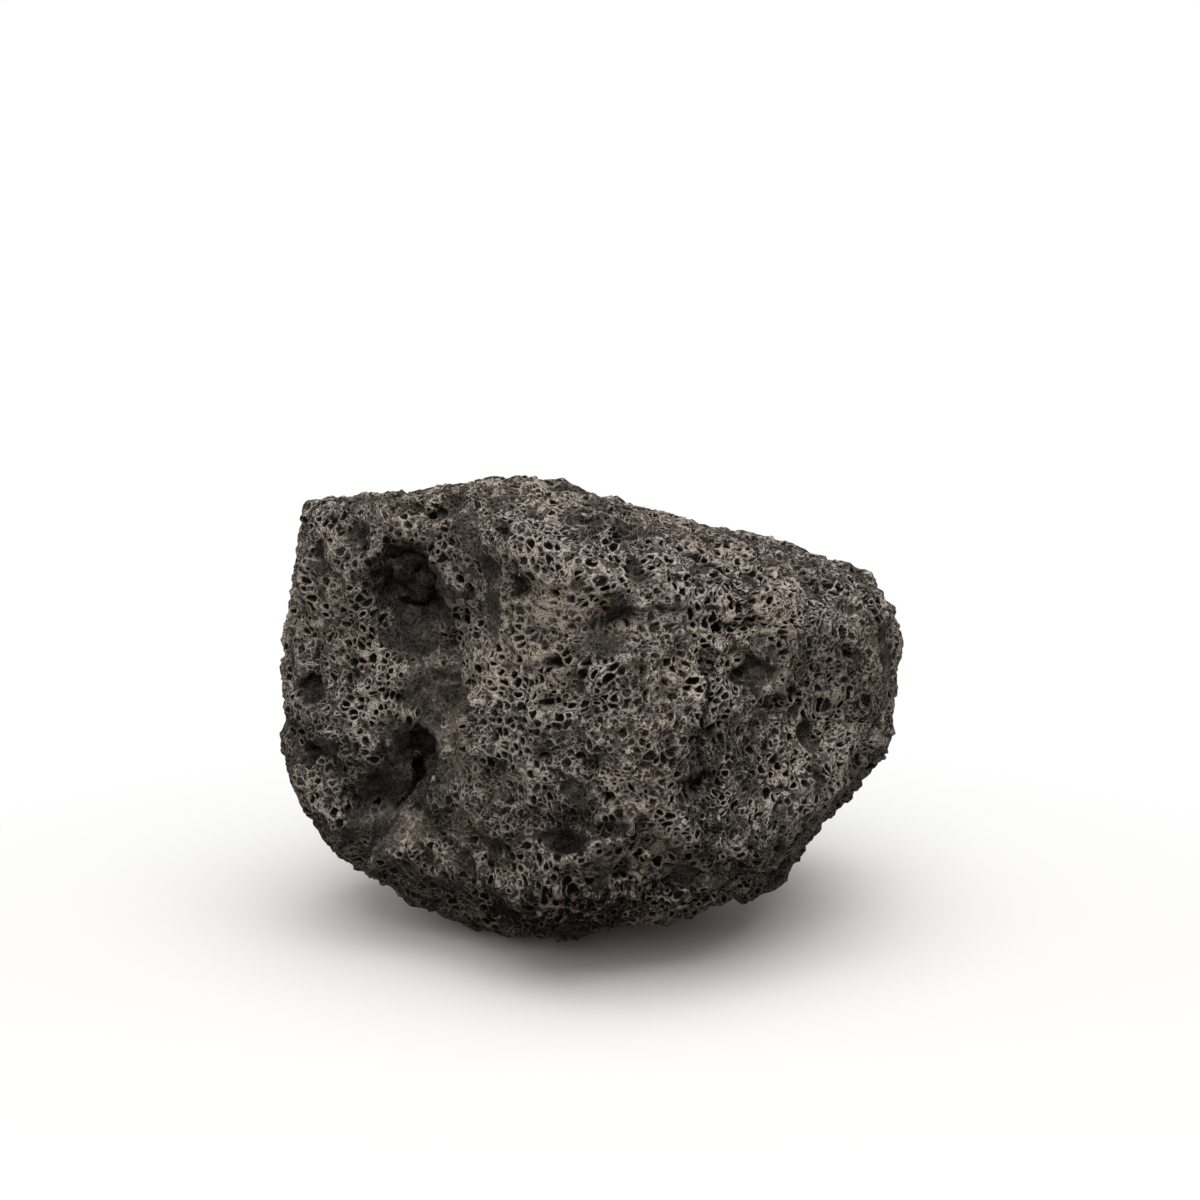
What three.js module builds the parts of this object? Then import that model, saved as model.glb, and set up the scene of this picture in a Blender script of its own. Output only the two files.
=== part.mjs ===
// An iron meteorite, about 97 mm long, as one solid lump of metal.
//
// The lump is a rough boulder of flat breaks. A nose block stands out in front of a lower shelf, and the
// valley between them is worn into a trough with a deep hole. Thumb-print hollows and swellings shape the
// rest, small pits cover all of it, and it stands on a flat-worn foot.
//
// Millimetres, +Z up. The origin is on the ground, under the middle of the lump's box. +X runs along its
// length, and the nose points to -Y.
//
// A bearing turns about +Z, from 0 at +X to 90 at +Y. A tilt is the angle above the level. Both are in
// degrees, and both are taken from the heart, the point inside the lump that distances are measured from.

import * as THREE from "three";
import { ImprovedNoise } from "three/addons/math/ImprovedNoise.js";
import { mergeVertices } from "three/addons/utils/BufferGeometryUtils.js";

const HEART_HEIGHT = 34; // from the ground to the heart
const EDGE_CRISPNESS = 60; // a higher power keeps the edges between two breaks sharper
const EDGE_WANDER = 0.07; // how far the edges between breaks stray, as a share of the lump's radius
const EDGE_WAVES = 2.4; // a higher number makes them stray in shorter waves
const SKIN_DETAIL = 21; // splits of each edge of the starting icosahedron
const PIT_COUNT = 90;
const PIT_RADIUS = [2, 6]; // smallest and largest
const PIT_DEPTH = 0.26; // as a share of the pit's radius
const PIT_STRETCH = [0.7, 1.3]; // a pit's second radius as a share of its first, smallest and largest
const PIT_NUDGE = [24, 12]; // how far its bearing and tilt stray in all
const PIT_RIM = 0.9; // the share of its radius that its sloping rim takes
const PIT_SEED = 7;

// The flat breaks, each [bearing, tilt, distance of its plane from the heart].
const BREAKS = {
  crown_left: [140, 84, 36.6],
  crown_peak: [160, 79, 38],
  crown_right: [17, 75, 32.3],
  crown_back: [95, 62, 38],
  brow: [-64, 70, 38.8],
  brow_right: [-36, 59, 37.6],
  shoulder_right: [-6, 32, 47],
  end_right: [-10, -2, 46.3],
  end_right_back: [22, 8, 46],
  heel_right: [-23, -36, 38.4],
  under_right: [-12, -64, 34.6],
  keel_right: [-60, -62, 33.4],
  keel_left: [-107, -64, 36.8],
  under_left: [-165, -62, 37.4],
  heel_left: [-150, -44, 42.7],
  side_left: [-162, -22, 46],
  end_left: [-169, 4, 46.8],
  end_left_top: [-171, 17, 50],
  face_right: [-62, 4, 38],
  face_far_right: [-38, 0, 43],
  chin: [-78, -34, 37],
  chin_left: [-128, -40, 38],
  chin_right: [-42, -38, 38.5],
  back: [96, 4, 36.5],
  back_right: [52, 14, 39.5],
  back_left: [138, -2, 40],
  back_brow: [112, 40, 39],
  back_brow_right: [60, 44, 38],
  back_heel: [95, -44, 35.5],
  back_heel_right: [38, -46, 37.5],
  back_heel_left: [150, -48, 38],
  under_back: [84, -68, 35.6],
};
const SHELF_BREAKS = {
  face_left: [-114, 4, 32],
};
const NOSE_BREAKS = {
  nose: [-100, 2, 38],
  nose_wall: [-139, 10, 33],
  tongue: [-121, -6, 35.4],
};

// Hollows sink into the skin and swells stand out of it. Each has the [bearing, tilt] of its middle, its
// half width and half height, the turn of its top to the left as seen from outside, its depth or height,
// and the share of its radius that its sloping rim takes.
const HOLLOWS = {
  trough: { at: [-131, 15], size: [8, 22], turn: -16, depth: 5, rim: 1 },
  trough_foot: { at: [-143, -17], size: [7, 15], turn: -32, depth: 4, rim: 1 },
  thumb_pit: { at: [-140, 31], size: [5.6, 9.5], turn: -4, depth: 4.5, rim: 0.4 },
  deep_hole: { at: [-137, -3], size: [3.5, 5], turn: 0, depth: 5, rim: 0.7 },
  nose_dent: { at: [-85, 28], size: [6, 5], turn: 20, depth: 2, rim: 0.8 },
  chin_dent: { at: [-95, -12], size: [4.5, 3], turn: 0, depth: 2, rim: 0.8 },
  left_dent: { at: [-160, -2], size: [4, 5], turn: 10, depth: 2.2, rim: 0.8 },
  left_hole: { at: [-149, -13], size: [3.2, 3.2], turn: 0, depth: 3, rim: 0.8 },
  crown_notch: { at: [-150, 50], size: [4.5, 3.5], turn: 0, depth: 2, rim: 0.9 },
  right_flat: { at: [-36, 8], size: [11, 14], turn: 0, depth: 1.6, rim: 0.9 },
  brow_valley: { at: [-52, 62], size: [16, 5], turn: -12, depth: 1.6, rim: 1 },
  crown_dish: { at: [80, 72], size: [15, 10], turn: 20, depth: 2.6, rim: 0.9 },
  back_thumb: { at: [100, 14], size: [13, 11], turn: 15, depth: 4, rim: 0.9 },
  back_dimple: { at: [62, -6], size: [9, 12], turn: -20, depth: 3, rim: 0.8 },
  back_scoop: { at: [140, 22], size: [10, 8], turn: 25, depth: 3, rim: 0.8 },
  end_scoop: { at: [12, -8], size: [8, 11], turn: -10, depth: 2.4, rim: 0.8 },
};
const SWELLS = {
  pit_lump: { at: [-144, 35], size: [3, 4], turn: 10, depth: 2, rim: 0.8 },
  left_block: { at: [-154, 0], size: [8, 6], turn: -20, depth: 1.6, rim: 0.8 },
  crown_hump: { at: [-112, 74], size: [10, 8], turn: 0, depth: 1.6, rim: 1 },
  back_rib: { at: [120, -4], size: [4, 18], turn: -15, depth: 1.8, rim: 1 },
  right_step: { at: [-16, 22], size: [6, 5], turn: 0, depth: 1.4, rim: 0.7 },
  heel_ledge: { at: [-38, -38], size: [16, 3], turn: -6, depth: 1.5, rim: 0.7 },
  chin_ledge: { at: [-80, -36], size: [18, 3], turn: -8, depth: 1.4, rim: 0.7 },
};

// Roughness, as waves of [length, height] from the coarsest to the finest.
const WAVES = [
  [26, 1.6],
  [12, 1.1],
  [5.5, 0.7],
  [3, 0.4],
];

function direction([bearing, tilt]) {
  const b = THREE.MathUtils.degToRad(bearing);
  const t = THREE.MathUtils.degToRad(tilt);
  return new THREE.Vector3(Math.cos(t) * Math.cos(b), Math.cos(t) * Math.sin(b), Math.sin(t));
}

// A block of the boulder as the list of its planes.
function block(...groups) {
  return groups.flatMap(Object.values).map(([bearing, tilt, distance]) => ({
    normal: direction([bearing, tilt]),
    distance,
  }));
}

const blocks = [block(BREAKS, SHELF_BREAKS), block(BREAKS, NOSE_BREAKS)];

// Where a unit vector from the heart leaves one block: at the nearest plane that it meets, with the edges
// between planes rounded. The second value is the way that the block faces there.
function leave(planes, unit) {
  let sum = 0;
  const facing = new THREE.Vector3();
  for (const { normal, distance } of planes) {
    const share = Math.max(0, normal.dot(unit) / distance);
    sum += share ** EDGE_CRISPNESS;
    facing.addScaledVector(normal, share ** (EDGE_CRISPNESS - 1) / distance);
  }
  return { reach: sum ** (-1 / EDGE_CRISPNESS), facing: facing.normalize() };
}

const noise = new ImprovedNoise();

// The same unit vector turned a little, by an amount that wanders over the lump.
function strayed(unit) {
  const { x, y, z } = unit.clone().multiplyScalar(EDGE_WAVES);
  const stray = new THREE.Vector3(noise.noise(x, y, z), noise.noise(y, z, -x), noise.noise(z, x, -y));
  return stray.multiplyScalar(EDGE_WANDER).add(unit).normalize();
}

// The bare boulder is the blocks joined, so the farther of the two ways out counts.
function bareSkin(unit) {
  const [shelf, nose] = blocks.map((planes) => leave(planes, strayed(unit)));
  return shelf.reach > nose.reach ? shelf : nose;
}

// A hollow or swell as an ellipse laid on the bare boulder, with its middle, the way it faces and the
// directions of its two half sizes.
function placed({ at, size, turn, depth, rim }) {
  const ray = direction(at);
  const { reach, facing } = bareSkin(ray);
  const side = new THREE.Vector3(0, 0, 1).cross(facing).normalize();
  const rise = facing.clone().cross(side);
  const angle = THREE.MathUtils.degToRad(turn);
  side.applyAxisAngle(facing, angle);
  rise.applyAxisAngle(facing, angle);
  return { middle: ray.multiplyScalar(reach), facing, side, rise, size, depth, rim };
}

// Pits spread evenly over the lump along a spiral, each nudged off it and of its own size.
function scatteredPits() {
  const pits = [];
  const random = THREE.MathUtils.seededRandom;
  random(PIT_SEED);
  const goldenAngle = 180 * (3 - Math.sqrt(5));
  for (let i = 0; i < PIT_COUNT; i++) {
    const bearing = i * goldenAngle + PIT_NUDGE[0] * (random() - 0.5);
    const level = THREE.MathUtils.radToDeg(Math.asin(1 - (2 * i + 1) / PIT_COUNT));
    const tilt = level + PIT_NUDGE[1] * (random() - 0.5);
    const radius = THREE.MathUtils.lerp(...PIT_RADIUS, random() ** 2);
    const size = [radius, radius * THREE.MathUtils.lerp(...PIT_STRETCH, random())];
    const turn = 180 * random();
    pits.push(placed({ at: [bearing, tilt], size, turn, depth: radius * PIT_DEPTH, rim: PIT_RIM }));
  }
  return pits;
}

const hollows = [...Object.values(HOLLOWS).map(placed), ...scatteredPits()];
const swells = Object.values(SWELLS).map(placed);

// How far a hollow or swell moves a point of the bare boulder: all of its depth inside its rim, and none
// outside it.
function shift({ middle, facing, side, rise, size, depth, rim }, point) {
  if (point.dot(facing) < 0) return 0;
  const offset = point.clone().sub(middle);
  const radius = Math.hypot(offset.dot(side) / size[0], offset.dot(rise) / size[1]);
  return depth * THREE.MathUtils.smoothstep((1 - radius) / rim, 0, 1);
}

// Height of the roughness at a point: the sum of the waves, each a smooth random field.
function roughness({ x, y, z }) {
  let sum = 0;
  for (const [length, height] of WAVES) sum += height * noise.noise(x / length, y / length, z / length);
  return sum;
}

// Where the finished skin meets a unit vector's ray, before the lump is moved over its origin. What would
// reach below the ground is worn off flat.
function skinPoint(unit) {
  const bare = unit.clone().multiplyScalar(bareSkin(unit).reach);
  const point = bare.clone().addScaledVector(unit, roughness(bare));
  for (const hollow of hollows) point.addScaledVector(hollow.facing, -shift(hollow, bare));
  for (const swell of swells) point.addScaledVector(swell.facing, shift(swell, bare));
  point.z = Math.max(0, point.z + HEART_HEIGHT);
  return point;
}

function makeSkin() {
  let skin = new THREE.IcosahedronGeometry(1, SKIN_DETAIL);
  skin.deleteAttribute("normal");
  skin.deleteAttribute("uv");
  skin = mergeVertices(skin, 1e-5);
  const position = skin.attributes.position;
  const unit = new THREE.Vector3();
  for (let i = 0; i < position.count; i++) {
    const point = skinPoint(unit.fromBufferAttribute(position, i).normalize());
    position.setXYZ(i, ...point);
  }
  skin.computeBoundingBox();
  const middle = skin.boundingBox.getCenter(new THREE.Vector3());
  return skin.translate(-middle.x, -middle.y, 0);
}

const metal = new THREE.MeshStandardMaterial({ color: 0x4a443f, roughness: 0.75, metalness: 0.5 });
const meteorite = new THREE.Mesh(makeSkin(), metal);
meteorite.name = "meteorite";
const part = new THREE.Group();
part.add(meteorite);

export default part;
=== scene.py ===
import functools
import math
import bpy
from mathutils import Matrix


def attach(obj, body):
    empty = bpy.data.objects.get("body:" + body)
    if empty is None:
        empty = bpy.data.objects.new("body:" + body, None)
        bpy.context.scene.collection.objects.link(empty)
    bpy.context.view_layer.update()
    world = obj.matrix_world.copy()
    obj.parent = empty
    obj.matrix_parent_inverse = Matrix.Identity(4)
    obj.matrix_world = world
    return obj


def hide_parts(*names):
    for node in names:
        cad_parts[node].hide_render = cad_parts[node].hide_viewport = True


bl_info = {
    "name": "Iron Meteorite",
    "version": (1, 0, 0),
    "blender": (4, 5, 0),
    "location": "3D View > Sidebar > Meteorite",
    "description": "Carves the cellular skin of an iron meteorite over its plain lump, and lights it",
    "category": "Add Mesh",
}

from concurrent.futures import ThreadPoolExecutor

import bpy
import numpy as np
from mathutils import Vector

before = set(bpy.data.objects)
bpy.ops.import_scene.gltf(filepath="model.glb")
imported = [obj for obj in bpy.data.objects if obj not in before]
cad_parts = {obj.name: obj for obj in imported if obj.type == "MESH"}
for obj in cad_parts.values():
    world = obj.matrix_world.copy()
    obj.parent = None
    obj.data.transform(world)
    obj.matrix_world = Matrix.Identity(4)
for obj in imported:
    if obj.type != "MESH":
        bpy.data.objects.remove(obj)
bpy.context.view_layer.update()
NODE = "meteorite"

# Lengths in the tables and in the numpy work are millimetres; bearings and tilts are degrees about HEART.
MM = 0.001
HEART = np.array([0.0, 0.0, 34.0])

# A place on the skin is (bearing, tilt), or (x, y, z) where the skin runs nearly straight away from HEART.

# Hollows pressed in along the way the skin faces: place, (half width, half height), turn, depth, rim.
# rim is the share of the hollow's radius over which its side slopes.
HOLLOWS = [
    ((-24.6, -18.0, 54.9), (6.4, 9.4), 4, 3.2, 0.3),
    ((-24.8, -19.0, 68.3), (3.4, 2.0), 0, 1.8, 0.6),
    ((-17.2, -27.0, 39.5), (3.0, 11.0), -12, 2.2, 0.9),
    ((-28.3, -20.0, 60.4), (1.7, 1.0), 15, 1.8, 0.6),
    ((-25.5, -17.9, 59.0), (1.7, 0.9), 35, 1.3, 0.7),
    ((-27.7, -17.6, 56.4), (1.2, 1.5), 0, 1.8, 0.6),
    ((-24.5, -17.7, 29.4), (1.4, 3.0), -6, 3.8, 0.6),
    ((-25.0, -18.4, 32.6), (1.6, 1.2), 0, 1.4, 0.8),
    ((-134, 13), (4.2, 9.0), -28, 1.2, 0.9),
    ((-153, -14), (1.5, 2.2), 0, 3.2, 0.5),
    ((-160, -4), (3.0, 1.8), 20, 2.4, 0.6),
    ((-159, 9), (3.0, 2.4), 0, 1.2, 0.7),
    ((-159, 32), (2.2, 2.6), 0, 1.4, 0.7),
    ((-158, 39), (3.4, 1.0), 18, 2.0, 0.8),
    ((-156, 50), (4.2, 2.2), 0, 2.2, 0.8),
    ((-134, 46), (2.6, 1.4), 0, 1.6, 0.8),
    ((-110, 44), (2.6, 1.3), 0, 2.2, 0.6),
    ((-85, 29), (4.4, 3.4), 30, 1.5, 0.9),
    ((-95, -14), (3.4, 1.9), 0, 0.9, 0.9),
    ((-86, -10), (2.6, 1.6), 0, 1.6, 0.7),
    ((-79, -16), (2.4, 1.3), -20, 1.6, 0.7),
    ((-53, 28), (1.9, 1.1), 10, 2.2, 0.6),
    ((-56, 18), (2.4, 1.3), -38, 1.7, 0.6),
    ((-49, 18), (3.6, 2.4), -38, 0.9, 0.8),
    ((-41, 12), (2.2, 0.8), -50, 1.7, 0.7),
    ((-66, -1), (1.5, 1.4), -20, 2.6, 0.5),
    ((-90, 3), (1.4, 1.8), 30, 2.0, 0.6),
    ((-47, 12), (1.6, 1.0), 0, 1.8, 0.7),
    ((-37, 3), (1.3, 2.8), 18, 1.0, 0.7),
    ((-37, -6), (1.2, 1.8), 10, 1.0, 0.7),
    ((-135, -27), (2.4, 3.2), 0, 2.0, 0.8),
    ((-73, 50), (4.4, 1.6), -14, 1.4, 0.8),
    ((-92, 51), (3.4, 1.5), 10, 1.2, 0.8),
    ((-64, -13), (1.5, 0.9), 0, 1.7, 0.6),
]

# Blocks left standing: the same, raised.
LUMPS = [
    ((-25.8, -17.9, 57.8), (3.2, 4.4), 6, 2.2, 0.25),
    ((-20.6, -19.8, 39.5), (3.0, 9.5), -12, 2.2, 0.9),
    ((-42.7, -3.1, 65.4), (3.0, 3.0), 0, 1.2, 0.9),
    ((-106, 39), (1.6, 6.0), -8, 0.8, 0.9),
    ((-104, -8), (2.0, 6.0), -30, 0.9, 0.9),
    ((-52, 22), (4.2, 0.7), -38, 0.9, 0.9),
    ((-80, 49), (6.0, 1.2), -12, 0.8, 0.8),
]

# Cracks: places along each, half width, depth.
CRACKS = [
    ([(-21.8, -23.6, 62.7), (-22.1, -22.4, 59.7), (-23.6, -18.4, 56.1), (-23.8, -18.1, 54.2)], 0.55, 2.2),
    ([(-23.8, -18.1, 54.2), (-25.3, -17.3, 53.0), (-27.3, -16.4, 53.2)], 0.5, 2.0),
    ([(-24.0, -19.2, 27.4), (-21.9, -22.0, 28.7)], 0.45, 1.8),
    ([(-28.8, -17.6, 22.2), (-26.4, -18.2, 25.6), (-24.0, -19.2, 27.6)], 0.35, 0.8),
    ([(-82, 32), (-69, 32), (-56, 31), (-38, 31)], 0.3, 0.6),
    ([(-76, 39), (-68, 37), (-59, 35), (-50, 32)], 0.35, 0.8),
    ([(-61, 28), (-48, 26)], 0.45, 1.0),
    ([(-63, 24), (-65, 15), (-66, 9), (-66, 1)], 0.55, 1.3),
    ([(-106, 39), (-107, 34), (-107, 29)], 0.5, 1.8),
    ([(-67, 47), (-60, 43), (-52, 38)], 0.6, 1.5),
    ([(-20, 27), (-19, 12), (-22, 0)], 0.7, 1.2),
    ([(-84, -23), (-70, -27), (-56, -27), (-46, -28)], 0.55, 1.6),
    ([(-92, -27), (-76, -31), (-62, -32)], 0.5, 1.4),
]

# Ledges: places along each edge, width of the slow rise on its right, height of the sharp drop on its left.
LEDGES = [
    ([(-30.8, -17.7, 18.1), (-28.2, -17.6, 22.0), (-25.8, -18.2, 25.3), (-21.4, -24.1, 28.6)], 7.0, 2.2),
    ([(-38, 31), (-56, 31), (-69, 32), (-82, 32)], 3.0, 0.5),
    ([(-50, 32), (-59, 35), (-68, 37), (-76, 39)], 2.0, 0.5),
    ([(-52, 38), (-60, 43), (-67, 47), (-80, 48)], 3.0, 0.8),
    ([(-61, 22), (-65, 15), (-66, 8), (-66, 0)], 2.5, 0.6),
    ([(-40, -24), (-56, -26), (-74, -24), (-96, -26)], 3.0, 0.9),
    ([(-50, -30), (-66, -32), (-84, -30)], 3.0, 0.9),
]

# Small round holes: place, half width, half height. The material also paints them dark as shade.
HOLES = [
    ((-23.7, -19.2, 24.4), 0.4, 0.4),
    ((-20.2, -26.5, 25.0), 0.4, 0.5),
    ((-20.6, -25.4, 23.0), 0.4, 0.4),
    ((-78, 21), 0.7, 0.9),
    ((-64, 9), 1.0, 0.9),
    ((-142, 11), 0.7, 0.9),
    ((-159, 16), 0.6, 0.6),
    ((-155, 26), 0.6, 0.7),
    ((-149, 37), 0.8, 0.6),
    ((-126, 33), 0.9, 0.8),
    ((-119, 27), 1.3, 0.6),
    ((-123, 38), 0.7, 0.7),
    ((-94, 40), 0.7, 0.7),
    ((-97, 34), 0.8, 0.6),
    ((-97, 23), 1.2, 1.1),
    ((-99, 15), 1.2, 0.6),
    ((-111, 7), 0.9, 0.9),
    ((-99, 4), 0.8, 0.6),
    ((-104, 14), 0.6, 0.6),
    ((-78, 21), 0.6, 0.6),
    ((-69, 7), 0.6, 0.6),
    ((-61, 28), 1.1, 0.7),
    ((-86, -3), 1.3, 0.8),
    ((-69, -8), 0.6, 0.8),
    ((-69, -2), 0.6, 0.8),
    ((-54, -17), 0.8, 0.6),
    ((-30, 17), 0.7, 0.9),
    ((-119, -19), 0.7, 0.5),
    ((-128, -21), 0.6, 0.6),
]

# Skin worn smooth: place, (half width, half height), turn, strength, darkness. The darkness is partly the
# stone's own dark smooth patches and partly painted shade where a spot sits in one of the hollows, darkest in
# the deepest.
CALM = [
    ((-18.8, -20.3, 40.7), (6.6, 6.4), -24, 1.0, 0.22),
    ((-21.5, -20.0, 46.5), (3.0, 4.6), -20, 0.75, 0.1),
    ((-19.3, -26.9, 32.3), (3.6, 5.6), -14, 0.95, 0.15),
    ((-23.0, -17.0, 30.2), (2.4, 4.4), 0, 1.0, 0.75),
    ((-20.5, -22.3, 35.0), (2.6, 2.8), 0, 0.95, 0.25),
    ((-21.4, -22.6, 56.5), (2.2, 6.0), 0, 0.95, 0.35),
    ((-137, 2), (3.6, 5.0), -20, 1.0, 0.2),
    ((-27.5, -18.5, 33.0), (3.4, 4.6), -14, 0.8, 0.5),
    ((-24.5, -17.7, 29.4), (1.3, 2.9), -6, 1.0, 0.97),
    ((-24.9, -18.0, 55.8), (7.4, 10.2), 4, 0.9, 0.5),
    ((-24.8, -19.0, 68.3), (3.2, 1.8), 0, 0.8, 0.6),
    ((-23.8, -20.5, 22.5), (5.4, 5.6), -10, 0.95, 0.0),
    ((-30.0, -17.6, 21.3), (3.6, 6.4), -20, 0.9, 0.15),
    ((-26.0, -18.4, 22.0), (3.2, 4.4), -20, 0.95, 0.3),
    ((-29.5, -18.5, 27.5), (4.4, 6.0), -30, 0.8, 0.5),
    ((-25.2, -17.6, 49.4), (5.4, 4.8), 0, 0.9, 0.4),
    ((-114, 34), (2.8, 7.0), -4, 0.85, 0.0),
    ((-123, 46), (2.0, 2.8), 0, 0.9, 0.3),
    ((-117, 41), (2.2, 2.6), 0, 0.85, 0.1),
    ((-139, -18), (6.0, 2.8), 24, 0.9, 0.0),
    ((-152, -17), (2.4, 5.5), -20, 0.9, 0.4),
    ((-159, 32), (2.2, 2.6), 0, 0.8, 0.6),
    ((-150, 39), (1.6, 1.4), 0, 0.8, 0.5),
    ((-159, 9), (3.0, 2.4), 0, 0.8, 0.6),
    ((-143, 4), (3.0, 2.4), -20, 0.8, 0.4),
    ((-160, -4), (2.6, 1.6), 20, 0.9, 0.8),
    ((-88, 26), (4.0, 2.0), 8, 0.9, 0.3),
    ((-84, 32), (2.0, 2.4), 0, 0.9, 0.3),
    ((-95, -14), (3.2, 1.7), 0, 0.9, 0.85),
    ((-49, 18), (3.0, 2.0), -38, 0.9, 0.4),
    ((-56, 18), (2.2, 1.2), -38, 0.9, 0.8),
    ((-37, 3), (1.2, 2.6), 18, 0.9, 0.5),
    ((-37, -6), (1.1, 1.6), 10, 0.9, 0.5),
    ((-73, 50), (4.0, 1.4), -14, 0.9, 0.5),
    ((-92, 51), (2.6, 1.3), 10, 0.8, 0.4),
    ((-122, -16), (4.0, 3.0), 0, 0.5, 0.0),
    ((-18, 14), (2.0, 7.0), 0, 0.8, 0.4),
    ((-156, 50), (3.8, 1.9), 0, 0.9, 0.8),
]

# Dust on the rims, which makes them paler, and where the amount is below 0 painted shade, darker patches that
# are largest over the bottom: place, (half width, half height), turn, how much paler.
DUST_AND_SHADE = [
    ((-9, -33.6, 58), (12, 10), 0, 0.34),
    ((-10, -35, 34), (9, 8), 0, 0.12),
    ((-80, 30), (9, 6), 0, 0.24),
    ((-34.5, -18.5, 44), (5, 18), 0, -0.16),
    ((-60, -4), (20, 13), 0, -0.26),
    ((-83, 7), (8, 7), 0, -0.15),
    ((-105, -38), (28, 11), 0, -0.6),
]

# Thin layers broken off in steps: place, (half width, half height), turn, thickness, height.
LAYERS = [
    ((-66, -31), (17, 6), 8, 2.0, 1.4),
    ((-96, -33), (12, 6), 4, 2.0, 1.4),
    ((-58, -22), (13, 6), 14, 2.8, 0.6),
    ((-48, 27), (13, 4), 2, 2.0, 0.5),
    ((-88, 47), (9, 4), 0, 2.4, 0.6),
    ((-27, 2), (6, 12), 70, 3.0, 0.8),
]


def unit(vectors):
    """Each vector over its own length."""
    return vectors / np.linalg.norm(vectors, axis=-1, keepdims=True)


def smooth(values, low, high):
    """0 below low, 1 above high, and 3t^2 - 2t^3 between them."""
    t = np.clip((values - low) / (high - low), 0, 1)
    return t * t * (3 - 2 * t)


def compass(bearing, tilt):
    """Unit direction at a bearing from +X and a tilt above the level, both in degrees."""
    turn, rise = math.radians(bearing), math.radians(tilt)
    return np.array([math.cos(turn) * math.cos(rise), math.sin(turn) * math.cos(rise), math.sin(rise)])


# ---- fields in space

# The numbers of a field are the length of its waves in millimetres, how far it pushes if it pushes points,
# its seed, and how many waves are added up if more than one.
TILE = 32  # steps after which the random slopes repeat
PART = 40000  # points worked out at a time
WAVE_GAIN = 1.6  # brings the waves to about -1 to 1


def in_parts(field):
    """Works out a field on parts of a long array side by side."""

    @functools.wraps(field)
    def whole(points, *rest):
        parts = np.array_split(points, max(1, len(points) // PART))
        with ThreadPoolExecutor() as pool:
            made = list(pool.map(lambda part: field(part, *rest), parts))
        if isinstance(made[0], tuple):
            return tuple(np.concatenate(column) for column in zip(*made))
        return np.concatenate(made)

    return whole


@functools.lru_cache
def slopes(seed):
    """A tile of random unit vectors, which repeats every TILE steps of a lattice."""
    return unit(np.random.default_rng(seed).normal(size=(TILE, TILE, TILE, 3))).astype(np.float32)


@in_parts
def waves(points, length, seed):
    """Smooth random height, about -1 to 1: a random slope at each corner of a lattice with this spacing,
    each slope times the offset from its corner, blended over the cube with 6t^5 - 15t^4 + 10t^3."""
    table = slopes(seed)
    place = (points / length).astype(np.float32)
    corner = np.floor(place).astype(np.int32)
    part = place - corner
    blend = part**3 * (part * (part * 6 - 15) + 10)
    height = np.zeros(len(points), np.float32)
    for step in np.ndindex(2, 2, 2):
        at = (corner + step) % TILE
        share = np.prod(np.where(step, blend, 1 - blend), axis=1)
        height += share * np.sum(table[at[:, 0], at[:, 1], at[:, 2]] * (part - step), axis=1)
    return height * WAVE_GAIN


def rough(points, length, seed, octaves=3):
    """Waves added to waves of half the length and half the height, that many times."""
    return sum(waves(points, length / 2**n, seed + n) / 2**n for n in range(octaves))


def stray(points, length, reach, seed):
    """A random push for each point: waves of that length and reach along each axis."""
    return reach * np.stack([waves(points, length, seed + axis) for axis in range(3)], axis=1)


def spun(bits, by):
    """32-bit numbers turned left by some bits."""
    return (bits << np.uint32(by)) | (bits >> np.uint32(32 - by))


def stirred(a, b, c):
    """The last seven steps of the lookup3 hash on three 32-bit numbers."""
    for turn in (14, 11, 25, 16, 4, 14, 24):
        c = (c ^ b) - spun(b, turn)
        a, b, c = b, c, a
    return a, b, c


def mixed(a, b, c):
    """The six middle steps of the lookup3 hash."""
    for turn in (4, 6, 8, 16, 19, 4):
        a = (a - c) ^ spun(c, turn)
        c = c + b
        a, b, c = b, c, a
    return a, b, c


def scattered(cubes):
    """A random point in each unit cube: the lookup3 hash of its corner, with 1 and 2 as a fourth number
    for y and z. It is the rule of Blender's Voronoi texture, so relief and material share their cells."""
    x, y, z = (np.ascontiguousarray(cubes[:, axis].astype(np.float32)).view(np.uint32) for axis in range(3))
    # The hash starts from its own fixed number, four for each number hashed, and 13.
    start = np.uint32(0xDEADBEEF)
    with np.errstate(over="ignore"):
        begun = start + np.uint32((3 << 2) + 13)
        a, b, c = stirred(begun + x, begun + y, begun + z)
        drawn = [b]
        for fourth in (1, 2):
            begun = start + np.uint32((4 << 2) + 13)
            a, b, c = mixed(begun + x, begun + y, begun + z)
            a, b, c = stirred(a + np.float32(fourth).view(np.uint32), b, c)
            drawn.append(b)
    return np.stack(drawn, axis=1) / np.float32(0xFFFFFFFF)


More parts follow.
